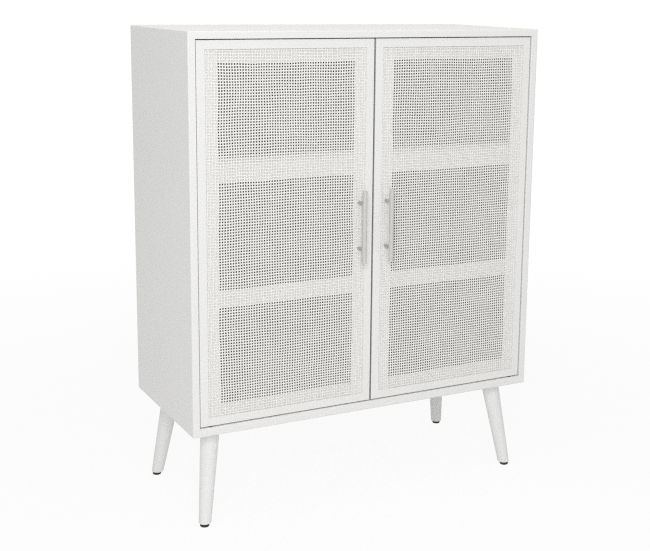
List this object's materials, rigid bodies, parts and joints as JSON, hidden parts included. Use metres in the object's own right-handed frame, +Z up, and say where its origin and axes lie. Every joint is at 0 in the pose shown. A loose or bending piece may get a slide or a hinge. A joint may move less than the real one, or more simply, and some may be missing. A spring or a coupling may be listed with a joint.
{
  "type": "storage cabinet",
  "caption": "White storage cabinet on splayed tapered legs, with inset doors of woven cane in raised frames, bar handles, concealed pivots, a magnetic catch and inner shelves.",
  "frame": {"origin": "on the floor, under the middle of the cabinet's overall box, handles included", "axes": "+X to the right as seen from the front, +Y from the front to the back, +Z up"},
  "size_m": [0.8, 0.375, 1],
  "materials": {
    "white_paint": "satin white paint",
    "woven_panel": "matte white woven cane",
    "handle_metal": "satin nickel",
    "black_plastic": "matte black",
    "steel": "bright zinc plating",
    "white_plastic": "satin white"
  },
  "bodies": {
    "cabinet": {"back_left_foot_glide": "black_plastic", "back_left_leg": "white_paint", "back_left_leg_screw": "steel", "back_panel": "white_paint", "back_right_foot_glide": "black_plastic", "back_right_leg": "white_paint", "back_right_leg_screw": "steel", "bottom_panel": "white_paint", "front_left_foot_glide": "black_plastic", "front_left_leg": "white_paint", "front_left_leg_screw": "steel", "front_right_foot_glide": "black_plastic", "front_right_leg": "white_paint", "front_right_leg_screw": "steel", "left_door_bottom_pivot_bush": "black_plastic", "left_door_top_pivot_bush": "black_plastic", "left_side_panel": "white_paint", "lower_shelf": "white_paint", "lower_shelf_pin_back_left": "steel", "lower_shelf_pin_back_right": "steel", "lower_shelf_pin_front_left": "steel", "lower_shelf_pin_front_right": "steel", "magnetic_catch": "white_plastic", "right_door_bottom_pivot_bush": "black_plastic", "right_door_top_pivot_bush": "black_plastic", "right_side_panel": "white_paint", "top_panel": "white_paint", "upper_shelf": "white_paint", "upper_shelf_pin_back_left": "steel", "upper_shelf_pin_back_right": "steel", "upper_shelf_pin_front_left": "steel", "upper_shelf_pin_front_right": "steel"},
    "left_door": {"left_door_bottom_pivot_pin": "steel", "left_door_bottom_rail": "white_paint", "left_door_handle_bar": "handle_metal", "left_door_handle_post_lower": "handle_metal", "left_door_handle_post_upper": "handle_metal", "left_door_hinge_stile": "white_paint", "left_door_lower_mid_rail": "white_paint", "left_door_meeting_stile": "white_paint", "left_door_strike_plate": "steel", "left_door_top_pivot_pin": "steel", "left_door_top_rail": "white_paint", "left_door_upper_mid_rail": "white_paint", "left_door_woven_panel": "woven_panel"},
    "right_door": {"right_door_bottom_pivot_pin": "steel", "right_door_bottom_rail": "white_paint", "right_door_handle_bar": "handle_metal", "right_door_handle_post_lower": "handle_metal", "right_door_handle_post_upper": "handle_metal", "right_door_hinge_stile": "white_paint", "right_door_lower_mid_rail": "white_paint", "right_door_meeting_stile": "white_paint", "right_door_strike_plate": "steel", "right_door_top_pivot_pin": "steel", "right_door_top_rail": "white_paint", "right_door_upper_mid_rail": "white_paint", "right_door_woven_panel": "woven_panel"}
  },
  "joints": [
    {"name": "left_door_hinge", "type": "hinge", "parent": "cabinet", "child": "left_door", "pos_m": [-0.361, -0.1505, 0.6015], "axis": [0, 0, -1], "range_deg": [0, 110]},
    {"name": "right_door_hinge", "type": "hinge", "parent": "cabinet", "child": "right_door", "pos_m": [0.361, -0.1505, 0.6015], "axis": [0, 0, 1], "range_deg": [0, 110]}
  ]
}
